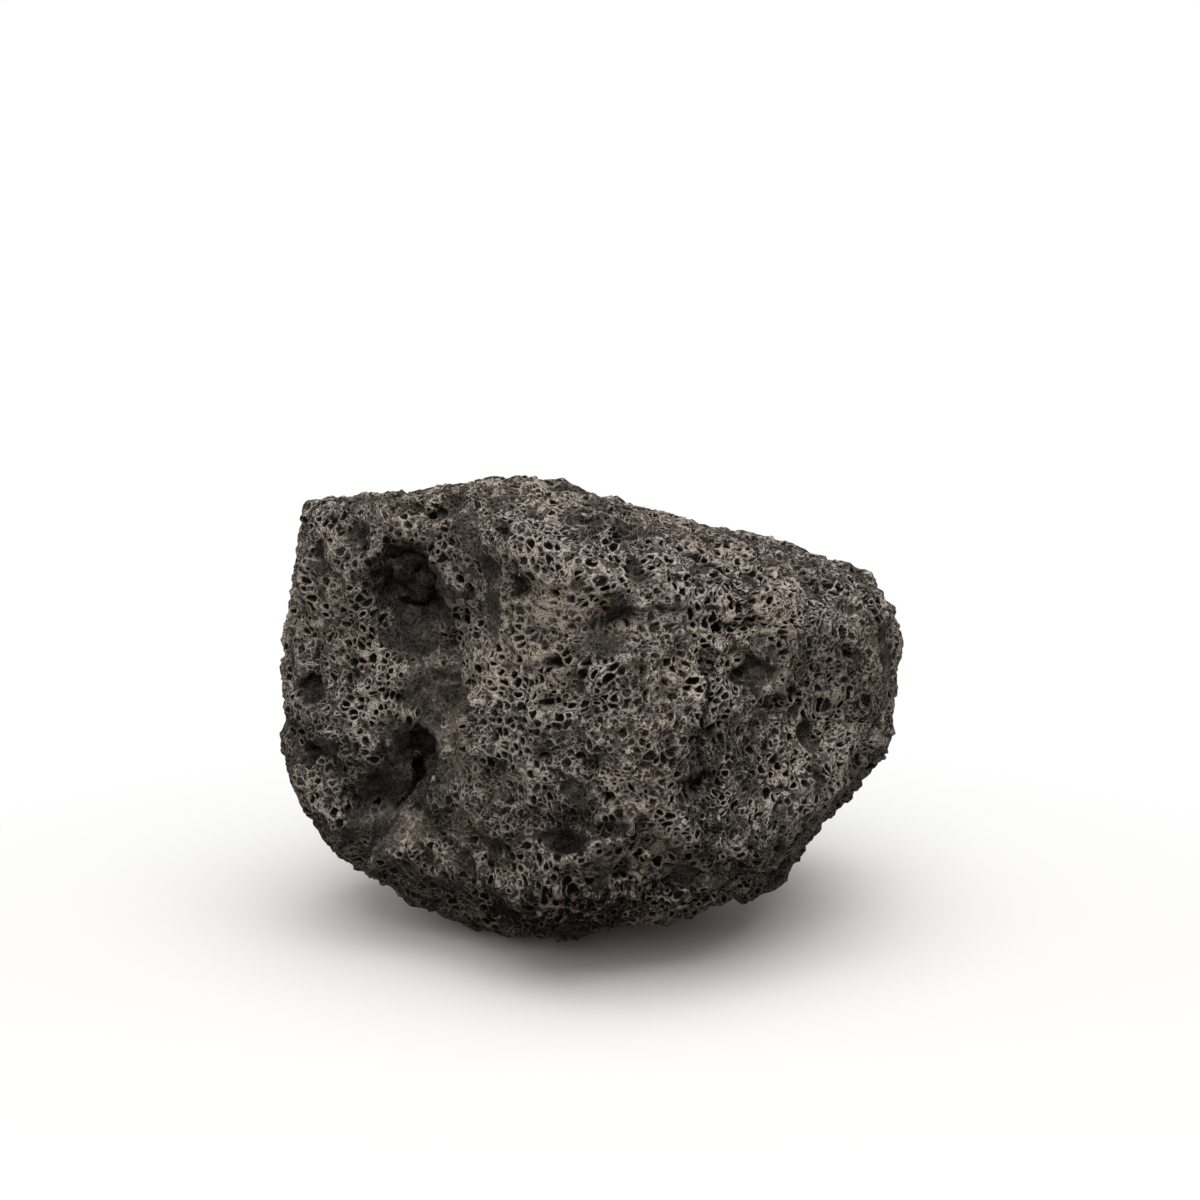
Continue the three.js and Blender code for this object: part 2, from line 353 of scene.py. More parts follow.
@in_parts
def cells(places):
    """For each place in a lattice of unit cells: distance to the nearest scattered point, distance to the
    flat wall halfway to the next one, and the three random numbers of the nearest point's cell."""
    first = np.floor(places.min(axis=0)).astype(int) - 1
    count = np.floor(places.max(axis=0)).astype(int) + 2 - first
    cubes = np.indices(count).reshape(3, -1).T + first
    chance = scattered(cubes + 0.0).astype(np.float32).reshape(*count, 3)
    corner = np.floor(places).astype(np.int32)
    part = (places - corner).astype(np.float32)
    corner -= first
    steps = [np.array(step) - 1 for step in np.ndindex(3, 3, 3)]

    def offset(step):
        """The scattered point's random numbers in the cube this step away, and the way to it."""
        at = corner + step
        drawn = chance[at[:, 0], at[:, 1], at[:, 2]]
        return drawn, drawn + step.astype(np.float32) - part

    nearest = np.full(len(places), np.inf, np.float32)
    to_nearest = np.zeros_like(part)
    luck = np.zeros_like(part)
    for step in steps:
        drawn, away = offset(step)
        far = np.sum(away * away, axis=1)
        closer = far < nearest
        nearest = np.where(closer, far, nearest)
        to_nearest = np.where(closer[:, None], away, to_nearest)
        luck = np.where(closer[:, None], drawn, luck)
    wall = np.full(len(places), np.inf, np.float32)
    for step in steps:
        away = offset(step)[1]
        across = away - to_nearest
        length = np.sqrt(np.sum(across * across, axis=1))
        other = length > 0.01
        middle = np.sum((away + to_nearest) * across, axis=1) / 2 / np.where(other, length, 1)
        wall = np.where(other & (middle < wall), middle, wall)
    return np.sqrt(nearest), wall, luck


# ---- places on the skin

SPOT_REACH = 9  # how far through the stone a spot is felt, in millimetres
LINE_REACH = 5  # the same for a line
FACING_REACH = 2.5  # how far round its middle the skin gives the way a spot faces
DROP_WIDTH = 0.35  # width of a ledge's sharp drop
DENT_WOBBLE = 0.6  # how far a dent's rim wobbles
DENT_WAVES = (2.6, 50, 2)
LINE_BEND = (2.2, 0.5, 70)


class Skin:
    """Points and normals of a mesh, in millimetres, as whole arrays."""

    def __init__(self, mesh):
        count = len(mesh.vertices)
        points, normals = np.empty(count * 3, np.float32), np.empty(count * 3, np.float32)
        mesh.vertices.foreach_get("co", points)
        mesh.vertex_normals.foreach_get("vector", normals)
        self.mesh = mesh
        self.points = points.reshape(-1, 3).astype(float) / MM
        self.normals = normals.reshape(-1, 3).astype(float)

    def move(self, points):
        """Writes new points, in millimetres, into the mesh."""
        self.mesh.vertices.foreach_set("co", (points * MM).astype(np.float32).ravel())
        self.mesh.update()

    def keep(self, name, values):
        """Stores one number or one vector for each point as an attribute."""
        kind, field = ("FLOAT", "value") if values.ndim == 1 else ("FLOAT_VECTOR", "vector")
        stored = self.mesh.attributes.new(name, kind, "POINT")
        stored.data.foreach_set(field, values.astype(np.float32).ravel())


class Spot:
    """A place on the skin: its middle, its half width and half height, the way it faces, and the level and
    upright ways across it."""

    def __init__(self, skin, where, size, turn=0):
        if len(where) == 2:
            near = np.argmax(unit(skin.points - HEART) @ compass(*where))
        else:
            near = np.argmin(np.linalg.norm(skin.points - where, axis=1))
        self.middle = skin.points[near]
        self.size = size
        close = np.linalg.norm(skin.points - self.middle, axis=1) < FACING_REACH
        self.facing = unit(skin.normals[close].mean(axis=0))
        level = unit(np.cross([0, 0, 1], self.facing))
        upright = np.cross(self.facing, level)
        angle = math.radians(turn)
        self.side = level * math.cos(angle) + upright * math.sin(angle)
        self.rise = upright * math.cos(angle) - level * math.sin(angle)

    def share(self, points, rim, wobble=0, power=2):
        """1 inside the spot and 0 outside it, by a smooth step over rim. The radius is the distance from the
        middle across the skin in half widths and half heights, squarer with a higher power, and moved by a
        wobble in millimetres."""
        away = points - self.middle
        across, upward = np.abs(away @ self.side) / self.size[0], np.abs(away @ self.rise) / self.size[1]
        radius = (across**power + upward**power) ** (1 / power)
        inside = np.abs(away @ self.facing) < SPOT_REACH
        return smooth(1 - radius - wobble / min(self.size), 0, rim) * inside


class Line:
    """A bent line across the skin."""

    def __init__(self, skin, places):
        spots = [Spot(skin, where, (1, 1)) for where in places]
        self.parts = list(zip(spots[:-1], spots[1:]))

    def beside(self, points):
        """Distance of each point from the line across the skin, more than 0 on the right of its run as seen
        from outside, and whether the point lies on the right or wrong side of the stone."""
        nearest = np.full(len(points), np.inf)
        side = np.ones(len(points))
        for start, end in self.parts:
            run = end.middle - start.middle
            facing = unit(start.facing + end.facing)
            along = np.clip((points - start.middle) @ run / (run @ run), 0, 1)
            away = points - start.middle - along[:, None] * run
            depth = away @ facing
            across = np.linalg.norm(away - depth[:, None] * facing, axis=1)
            closer = (across < nearest) & (np.abs(depth) < LINE_REACH)
            nearest = np.where(closer, across, nearest)
            side = np.where(closer, np.sign(away @ np.cross(run, facing)), side)
        return nearest, side


def crack_share(line, width, points):
    """1 on the line, falling evenly to 0 at the half width beside it."""
    return np.clip(1 - line.beside(points)[0] / width, 0, 1)


def ledge_share(line, width, points):
    """1 at the line, falling slowly to 0 over the width on its right and sharply on its left."""
    distance, side = line.beside(points)
    return 1 - smooth(distance, 0, np.where(side > 0, width, DROP_WIDTH))


class Marks:
    """The tables' places, found on the plain skin before it is dented."""

    def __init__(self, skin):
        self.worn = [(Spot(skin, where, size, turn), *rest) for where, size, turn, *rest in CALM]
        self.layers = [(Spot(skin, where, size, turn), *rest) for where, size, turn, *rest in LAYERS]
        self.dust = [(Spot(skin, where, size, turn), amount) for where, size, turn, amount in DUST_AND_SHADE]
        self.holes = [Spot(skin, where, size) for where, *size in HOLES]
        self.cracks = [(Line(skin, places), *rest) for places, *rest in CRACKS]
        self.ledges = [(Line(skin, places), *rest) for places, *rest in LEDGES]


def dented(skin, table, way, power=2):
    """How far each point moves, along the way each spot faces: depth times the spot's share."""
    move = np.zeros_like(skin.points)
    wobble = DENT_WOBBLE * rough(skin.points, *DENT_WAVES)
    for where, size, turn, depth, rim in table:
        spot = Spot(skin, where, size, turn)
        move += way * depth * spot.share(skin.points, rim, wobble, power)[:, None] * spot.facing
    return move


def lined(skin, marks):
    """How far each point moves at the ledges and the cracks."""
    pushed = skin.points + stray(skin.points, *LINE_BEND)
    move = sum(height * ledge_share(line, width, pushed) for line, width, height in marks.ledges)
    move -= sum(depth * crack_share(line, width, pushed) for line, width, depth in marks.cracks)
    return move[:, None] * skin.normals


# ---- the cellular skin

# Steps of a bubble's wall, with the pitch as unit, and of its floor and rim, with its own radius as unit.
WALL = (0.05, 0.24)
FLOOR = (0.4, 0.9)
RISE = (0.6, 0.95)
FALL = (1.0, 1.45)
RADIUS = (0.38, 0.45)  # a bubble's least radius and the most that chance adds, in pitches
STRENGTH = (-0.3, 0.7)  # steps of the chance that sets how marked a bubble is

GROUND_SHARE = 0.2  # share of the relief left on the ground
GROUND_STEP = (0.2, 2.5)  # heights over which it grows to full
UNDER_SHARE = 0.6  # share of the relief left where the skin faces down
UNDER_STEP = (-0.7, 0)  # upward part of the skin's facing over which it grows to full
HIGH_FOLD = 0.3  # what folds add to the height that the material reads, which paints the low places darker as shade
HIGH_BLISTER = 0.4  # what blisters take from it, painted shade in the blisters

WORN_WAVES = (2.2, 80, 3)
WORN_GROWTH = 0.4  # how far a smooth spot reaches past its size
SOFT_RIM = 0.5  # share of its radius over which a smooth spot or a layered one fades
BARE_WAVES = (4.2, 300, 3)
BARE_STEP = (0.05, 0.7)  # steps of those waves over which the skin between the spots goes bare
BARE_SHARE = (0.6, 0.3)  # how smooth and how dark it is there

LAYER_BEND = 0.5  # how far the layers bend, in thicknesses
LAYER_BEND_WAVES = (5, 110, 2)
LAYER_WOBBLE = 1.6
LAYER_WOBBLE_WAVES = (4, 120)
LAYER_DROP = 0.86  # share of a layer's thickness after which it drops

BLISTER_PUSHES = ((5, 1.2, 60), (1.8, 0.5, 65))
BLISTER_PITCH = 5.2
BLISTER_START = 3.3  # shifts the lattice of blisters
BLISTER_RADIUS = (0.2, 0.32)
BLISTER_CHANCE = 0.2  # cells whose chance is below this have none
BLISTER_DEPTH = 1.1
LINED_CHANCE = 0.55  # blisters whose chance is above this have a smooth lining
LINED_SHARE = (0.7, 0.4)  # how smooth and how dark the lining is
LINED_STEP = (0.2, 0.6)

PLATE_PUSH = (6, 1.6, 90)
PLATE_PITCH = 9
PLATE_START = 5.1
PLATE_EDGE = 0.06
PLATE_HEIGHT = 0.8

CREASE_GAIN = 1.6
CREASE_LEVEL = 0.4
CREASE_HEIGHT = 0.95
CREASE_WAVES = (4.6, 210)
FOLD_HEIGHT = 0.5
FOLD_WAVES = (3.2, 220, 2)
FOLD_WORN = 0.6  # share of the folds that a smooth spot takes away

CELL_PUSHES = ((8, 1.6, 10), (2.6, 0.36, 20), (1.1, 0.1, 30))
COARSE_WAVES = (11, 40, 2)
COARSE_STEP = (-0.4, 0.5)
COARSE_LEAST = 0.4  # depth of the bubbles where they are finest, as a share
CALM_CHANCE = 0.45  # how much chance decides which bubbles a smooth spot's edge leaves
CALM_STEP = (0.3, 0.7)
CALM_SHARE = 0.85  # share of a bubble that a smooth spot takes away
RIM_HEIGHT = 0.1  # height of a rim as a share of the depth
CALM_RELIEF = 0.15  # height of the waves left on a smooth spot
CALM_WAVES = (1.6, 33, 2)
HOLE_RIM = 0.5
HOLE_WOBBLE = 0.15
HOLE_WAVES = (1.2, 130)
HOLE_DEPTH = 1.6
CRACK_SHADE_FULL = 1.4  # cracks of this depth or more are fully dark with painted shade
CRACK_SHADE_STEP = (0.1, 0.7)


def pitted(places):
    """Depth and rim of the round bubbles cut open by the skin, each 0 to 1, and the third random number of
    each bubble. A bubble sits at each scattered point, with its own random radius and strength. Its floor
    rises to its rim by a smooth step of the distance over the radius, and its rim falls away outside by
    another; where bubbles touch, the thin wall between them stands as high as a rim."""
    near, edge, luck = cells(places)
    reach = near / (RADIUS[0] + RADIUS[1] * luck[:, 1])
    bowl = 1 - smooth(reach, *FLOOR)
    wall = 1 - smooth(edge, *WALL)
    rim = smooth(reach, *RISE) * (1 - smooth(reach, *FALL))
    strength = smooth(luck[:, 0], *STRENGTH)
    return bowl * (1 - wall) * strength, np.maximum(rim, bowl * wall) * strength, luck[:, 2]


def creased(points, length, seed):
    """Sharp crests on rounded troughs, 0 to 1: one less the gain times the size of the waves, squared."""
    return np.clip(1 - CREASE_GAIN * np.abs(waves(points, length, seed)), 0, 1) ** 2


def worn(spots, points):
    """How smooth and how dark the skin is at each point, 0 to 1: the strongest of the smooth spots, with torn
    rims. The darkness is partly the stone's dark smooth patches and partly painted shade in the hollows."""
    wobble = rough(points, *WORN_WAVES) - WORN_GROWTH
    calm, dark = np.zeros(len(points)), np.zeros(len(points))
    for spot, strength, darkness in spots:
        share = spot.share(points, SOFT_RIM, wobble)
        calm = np.maximum(calm, strength * share)
        dark = np.maximum(dark, darkness * share)
    return calm, dark


def layered(spots, points):
    """Height of thin layers broken off in steps, a saw of the distance up the spot, each tooth rising slowly
    and dropping sharply, bent by waves; and how far each point is moved away from the level of the spot's
    middle to find its bubbles, which lie flat in the layers."""
    height, spread = np.zeros(len(points)), np.zeros(len(points))
    bend = LAYER_BEND * rough(points, *LAYER_BEND_WAVES)
    wobble = LAYER_WOBBLE * waves(points, *LAYER_WOBBLE_WAVES)
    for spot, thickness, drop in spots:
        share = spot.share(points, SOFT_RIM, wobble)
        turns = (points - spot.middle) @ spot.rise / thickness + bend
        part = turns - np.floor(turns)
        height += drop * (part - smooth(part, LAYER_DROP, 1)) * share
        spread += share * (points[:, 2] - spot.middle[2])
    return height, spread


def blistered(points):
    """Depth of the blisters, 0 to 1, and how far each point lies in one with a smooth lining. A blister is
    one less the square of the distance over its random radius, at the scattered points that chance keeps."""
    pushed = points + stray(points, *BLISTER_PUSHES[0]) + stray(points, *BLISTER_PUSHES[1])
    near, _, luck = cells(pushed / BLISTER_PITCH + BLISTER_START)
    radius = BLISTER_RADIUS[0] + BLISTER_RADIUS[1] * luck[:, 1]
    blister = np.clip(1 - (near / radius) ** 2, 0, 1) * (luck[:, 2] > BLISTER_CHANCE)
    return blister, smooth(blister * (luck[:, 0] > LINED_CHANCE), *LINED_STEP)


def plated(points):
    """Height of flat plates, -0.5 to 0.5: a random one for each large cell, smooth at its edges."""
    _, edge, luck = cells((points + stray(points, *PLATE_PUSH)) / PLATE_PITCH + PLATE_START)
    return (luck[:, 0] - 0.5) * smooth(edge, 0, PLATE_EDGE)


def folded(points):
    """Height of the folds: creases about their middle level, and waves."""
    creases = CREASE_HEIGHT * (creased(points, *CREASE_WAVES) - CREASE_LEVEL)
    return creases + FOLD_HEIGHT * rough(points, *FOLD_WAVES)


def drilled(spots, points):
    """How far each point lies in a small hole, 0 to 1."""
    hole = np.zeros(len(points))
    wobble = HOLE_WOBBLE * waves(points, *HOLE_WAVES)
    for spot in spots:
        hole = np.maximum(hole, spot.share(points, HOLE_RIM, wobble))
    return hole


def painted_crack_shade(lines, points):
    """Painted shade in the cracks, 0 to 1: how dark the strongest crack makes each point, less if it is
    shallow.
    """
    bent = points + stray(points, *LINE_BEND)
    shares = [min(1, depth / CRACK_SHADE_FULL) * crack_share(line, width, bent) for line, width, depth in lines]
    return np.max(shares, axis=0)


def carve(skin, marks, pitch, depth):
    """Moves the skin along the way it faces, first for folds, layers, plates and blisters, then for bubbles
    and holes, less near the ground and under the stone, and keeps what the material needs."""
    points, facing = skin.points, skin.normals
    low = GROUND_SHARE + (1 - GROUND_SHARE) * smooth(points[:, 2], *GROUND_STEP)
    under = UNDER_SHARE + (1 - UNDER_SHARE) * smooth(facing[:, 2], *UNDER_STEP)
    # Paler dust, and painted shade where an amount is below 0.
    dust = sum(amount * spot.share(points, 1) for spot, amount in marks.dust)

    blister, lining = blistered(points)
    bare = smooth(rough(points, *BARE_WAVES), *BARE_STEP)
    calm, dark = worn(marks.worn, points)
    calm = np.maximum(np.maximum(calm, lining * LINED_SHARE[0]), bare * BARE_SHARE[0])
    dark = np.maximum(np.maximum(dark, lining * LINED_SHARE[1]), bare * BARE_SHARE[1])

    plate = plated(points)
    folds = folded(points)
    layers, spread = layered(marks.layers, points)
    height = folds * (1 - FOLD_WORN * calm) + layers - plate * PLATE_HEIGHT - blister * BLISTER_DEPTH
    points = points + (height * low)[:, None] * facing

    pushed = points
    for push in CELL_PUSHES:
        pushed = pushed + stray(points, *push)
    pushed[:, 2] += spread
    place = pushed / pitch
    coarse = smooth(rough(points, *COARSE_WAVES), *COARSE_STEP)
    sunk, rim, chance = pitted(place)
    calm = smooth(calm + CALM_CHANCE * (chance - 0.5), *CALM_STEP)
    hole = drilled(marks.holes, points)
    share = COARSE_LEAST + (1 - COARSE_LEAST) * coarse
    height = (1 - CALM_SHARE * calm) * depth * share * (RIM_HEIGHT * rim - sunk)
    height += CALM_RELIEF * calm * rough(points, *CALM_WAVES) - HOLE_DEPTH * hole
    skin.move(points + (height * low * under)[:, None] * facing)

    crack = painted_crack_shade(marks.cracks, points)
    skin.keep("cell_place", place)
    skin.keep("upright", facing[:, 2])
    skin.keep("coarse", coarse)
    skin.keep("calm", calm)
    skin.keep("dust", dust)
    # Painted shade: the small holes and the cracks are kept as dark, with the smooth spots' darkness.
    skin.keep("dark", np.maximum(dark, np.maximum(hole, smooth(crack, *CRACK_SHADE_STEP))))
    skin.keep("high", np.clip(0.5 + HIGH_FOLD * folds - HIGH_BLISTER * blister, 0, 1))


# ---- meshes


def evaluated(piece):
    """The mesh of a piece with its modifiers applied."""
    bpy.context.view_layer.update()
    graph = bpy.context.evaluated_depsgraph_get()
    return bpy.data.meshes.new_from_object(piece.evaluated_get(graph))


def rebuilt(mesh, modifiers):
    """A mesh put through modifiers, each a kind and its settings."""
    piece = bpy.data.objects.new("rough_out", mesh)
    bpy.context.scene.collection.objects.link(piece)
    for kind, settings in modifiers:
        modifier = piece.modifiers.new(kind.lower(), kind)
        for name, value in settings.items():
            setattr(modifier, name, value)
    made = evaluated(piece)
    bpy.data.objects.remove(piece)
    bpy.data.meshes.remove(mesh)
    return made


LEVELS = 3  # times that the lump's facets are split and rounded
SAME_POINT = 1e-6  # points nearer than this, in metres, are joined
SOFTENING = 0.5  # how far each point goes to the mean of its neighbours
LUMP_POWER = 4  # makes a lump squarer than an ellipse


def skin_mesh(settings):
    """The lump's mesh rounded and dented, evened out in small squares, carved, and thinned to triangles
    with the sharpest points taken off and nothing below the ground."""
    rounded = [
        ("WELD", {"merge_threshold": SAME_POINT}),
        ("SUBSURF", {"levels": LEVELS, "render_levels": LEVELS}),
    ]
    mesh = rebuilt(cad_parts[NODE].data.copy(), rounded)
    skin = Skin(mesh)
    marks = Marks(skin)
    shaped = skin.points + dented(skin, HOLLOWS, -1) + dented(skin, LUMPS, 1, LUMP_POWER)
    skin.move(shaped + lined(skin, marks))

    mesh = rebuilt(mesh, [("REMESH", {"mode": "VOXEL", "voxel_size": settings.grid})])
    carve(Skin(mesh), marks, settings.pitch / MM, settings.depth / MM)

    share = settings.triangles / (2 * len(mesh.polygons))
    thinned = [
        ("SMOOTH", {"factor": SOFTENING, "iterations": 1}),
        ("DECIMATE", {"ratio": share, "use_collapse_triangulate": True}),
    ]
    mesh = rebuilt(mesh, thinned)
    skin = Skin(mesh)
    skin.move(np.maximum(skin.points, (-np.inf, -np.inf, 0)))
    mesh.shade_smooth()
    return mesh


# ---- materials

# Waves a metre of each noise.
GRIT = 2400
GRAIN = 900
BLOTCH = 330
REGION = 80
WANDER = 800
WANDER_PUSH = 0.4  # how far that noise bends the large bubbles, in pitches
NOISE_DETAIL = 2.0
WANDER_DETAIL = 3.0

SMALL_WORN = 0.5  # share of the small bubbles that a smooth spot takes away
SMALL_COARSE = 0.4  # the same where the large bubbles are deepest

# What each adds to the tone, or a pit takes. The tone picks the colour: 0 in a pit, 1 on a dusty rim.
TONE_SKIN = 0.57
# The pits take the tone down partly for the bubbles' dark stone and partly as painted shade of their depth;
# the small bubbles have no depth in the mesh.
TONE_RIM, TONE_PIT = 0.9, 0.95
TONE_SMALL_RIM, TONE_SMALL_PIT = 0.25, 0.35
TONE_HIGH, TONE_BLOTCH, TONE_GRAIN, TONE_REGION = 0.25, 0.6, 0.35, 0.45
TONE_GRIT, TONE_WORN_GRIT = 0.2, 0.4
TONE_TOP_SHADE = 0.12  # painted shade: taken away where the skin faces up, which darkens the tops
TONE_STOPS = (0.0, 0.25, 0.5, 0.72, 1.0)  # places of the pit, side, skin, edge and rim colours

# Steps of the skin's upward facing, or of the region noise, over which a tint comes in: painted shade on the
# tops and on the underside, and the warm tint.
TOP_SHADE_STEP = (0.5, 0.9)
WARM_STEP = (0.4, 0.62)
UNDERSIDE_SHADE_STEP = (-0.55, 0.35)
DARKEST = 0.95  # how far the darkest places go to the colour of a pit: dark smooth patches, and painted shade in holes, cracks and hollows

# What each adds to the bump's height, or a pit takes, and the bump's depth as a share of the cells'.
BUMP_RIM, BUMP_PIT = 0.3, 0.5
BUMP_SMALL_RIM, BUMP_SMALL_PIT = 0.25, 0.6
BUMP_GRIT, BUMP_GRAIN = 0.25, 0.35
BUMP_DEPTH = 1.15

ROUGHNESS = 0.72
ROUGHNESS_WORN = 0.15  # how much smoother the smooth spots are
ROUGHNESS_GRIT = 0.1
SPECULAR = 0.06

WHITE = (1.0, 1.0, 1.0)
FADE_MIDDLE = (0, -0.05, 0)  # the floor shows most round this place, in metres


class Value:
    """A number that varies over the surface: arithmetic on it adds the Math nodes that work it out."""

    def __init__(self, graph, socket):
        self.graph, self.socket = graph, socket

    def math(self, operation, *numbers):
        """One operation of a Math node."""
        node = self.graph.node("ShaderNodeMath", {"operation": operation}, dict(enumerate(numbers)))
        return Value(self.graph, node.outputs[0])

    def __add__(self, other):
        return self.math("ADD", self, other)

    __radd__ = __add__

    def __mul__(self, other):
        return self.math("MULTIPLY", self, other)

    __rmul__ = __mul__

    def __sub__(self, other):
        return self.math("SUBTRACT", self, other)

    def __rsub__(self, other):
        return self.math("SUBTRACT", other, self)

    def __truediv__(self, other):
        return self.math("DIVIDE", self, other)

    def greatest(self, other):
        """The greater of the two at each point."""
        return self.math("MAXIMUM", self, other)


class Graph:
    """The nodes of one material."""

    def __init__(self, name):
        self.material = bpy.data.materials.new(name)
        self.material.use_nodes = True
        self.tree = self.material.node_tree
        self.tree.nodes.clear()

    def node(self, kind, settings, inputs):
        """A node of a kind, with its settings made first and its sockets then set or linked."""
        made = self.tree.nodes.new(kind)
        for name, value in settings.items():
            if name == "stops":
                self.ramp(made.color_ramp, value)
            else:
                setattr(made, name, value)
        for name, value in inputs.items():
            socket = made.inputs[name]
            if isinstance(value, Value):
                value = value.socket
            if isinstance(value, bpy.types.NodeSocket):
                self.tree.links.new(value, socket)
            else:
                socket.default_value = value
        return made

    @staticmethod
    def ramp(ramp, stops):
        """Puts a colour at each place of a ramp."""
        while len(ramp.elements) < len(stops):
            ramp.elements.new(0.5)
        for element, (position, colour) in zip(ramp.elements, stops):
            element.position, element.color = position, (*colour, 1)

    def read(self, name):
        """A number kept on the mesh."""
        return Value(self, self.node("ShaderNodeAttribute", {"attribute_name": name}, {}).outputs["Fac"])

    def vector(self, operation, *vectors):
        """Arithmetic on vectors, by a Vector Math node."""
        made = self.node("ShaderNodeVectorMath", {"operation": operation}, dict(enumerate(vectors)))
        return made.outputs[0]

    def noise(self, vector, scale):
        """Blender's noise at that many waves a metre, around one half."""
        inputs = {"Vector": vector, "Scale": scale, "Detail": NOISE_DETAIL}
        return Value(self, self.node("ShaderNodeTexNoise", {}, inputs).outputs["Fac"])

    def step(self, value, low, high):
        """0 below low, 1 above high, and smooth between."""
        inputs = {"Value": value, "From Min": low, "From Max": high}
        node = self.node("ShaderNodeMapRange", {"interpolation_type": "SMOOTHSTEP"}, inputs)
        return Value(self, node.outputs["Result"])

    def blend(self, share, first, second):
        """First colour where share is 0, second where it is 1."""
        made = self.node("ShaderNodeMix", {"data_type": "RGBA"}, {"Factor": share})
        for socket, value in ((made.inputs[6], first), (made.inputs[7], second)):
            if isinstance(value, bpy.types.NodeSocket):
                self.tree.links.new(value, socket)
            else:
                socket.default_value = (*value, 1)
        return made.outputs[2]

    def product(self, first, second):
        """One colour times the other."""
        inputs = {"Factor": 1.0, 6: first, 7: second}
        return self.node("ShaderNodeMix", {"data_type": "RGBA", "blend_type": "MULTIPLY"}, inputs).outputs[2]


def bubbles(graph, place):
    """The same depth and rim as pitted gives, from the same formula in nodes."""
    plain = {"Vector": place, "Scale": 1.0, "Detail": 0.0}
    edge = graph.node("ShaderNodeTexVoronoi", {"feature": "DISTANCE_TO_EDGE"}, plain).outputs["Distance"]
    nearest = graph.node("ShaderNodeTexVoronoi", {"feature": "F1"}, plain)
    luck = graph.node("ShaderNodeSeparateColor", {}, {"Color": nearest.outputs["Color"]})
    first, second = Value(graph, luck.outputs["Red"]), Value(graph, luck.outputs["Green"])
    reach = Value(graph, nearest.outputs["Distance"]) / (RADIUS[0] + RADIUS[1] * second)
    bowl = 1 - graph.step(reach, *FLOOR)
    wall = 1 - graph.step(Value(graph, edge), *WALL)
    rim = graph.step(reach, *RISE) * (1 - graph.step(reach, *FALL))
    strength = graph.step(first, *STRENGTH)
    return bowl * (1 - wall) * strength, rim.greatest(bowl * wall) * strength


